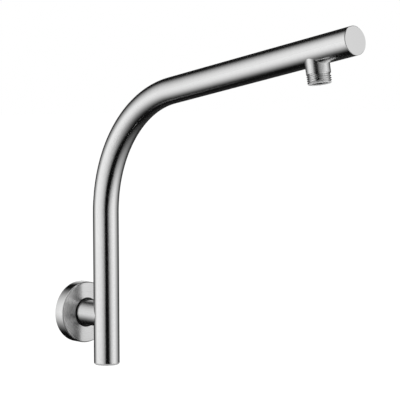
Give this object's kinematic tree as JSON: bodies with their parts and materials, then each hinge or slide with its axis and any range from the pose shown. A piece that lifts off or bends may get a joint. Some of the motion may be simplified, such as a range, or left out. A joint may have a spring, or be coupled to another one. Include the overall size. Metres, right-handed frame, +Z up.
{
  "type": "shower arm",
  "caption": "High-rise bent tube shower arm with a wall spigot, a loose round cover flange, capped ends and a threaded outlet under the tip.",
  "frame": {"origin": "where the inlet axis meets the finished wall, in the plane of the flange's back rim", "axes": "+X out of the wall along the inlet axis, +Z up the riser; the tube's centreline lies in the XZ plane"},
  "size_m": [0.3902, 0.06, 0.3194],
  "materials": {
    "brushed_nickel": "fine brushed, satin",
    "black_rubber": "moulded, matt"
  },
  "bodies": {
    "arm": {"arm_tube": "brushed_nickel", "tip_cap": "brushed_nickel", "foot_cap": "brushed_nickel", "inlet_spigot": "brushed_nickel", "outlet_nipple": "brushed_nickel"},
    "flange": {"wall_flange": "brushed_nickel", "flange_o_ring": "black_rubber"}
  },
  "joints": [
    {"name": "flange_slide", "type": "slide", "parent": "arm", "child": "flange", "axis": [1, 0, 0], "range_m": [0, 0.018]}
  ]
}
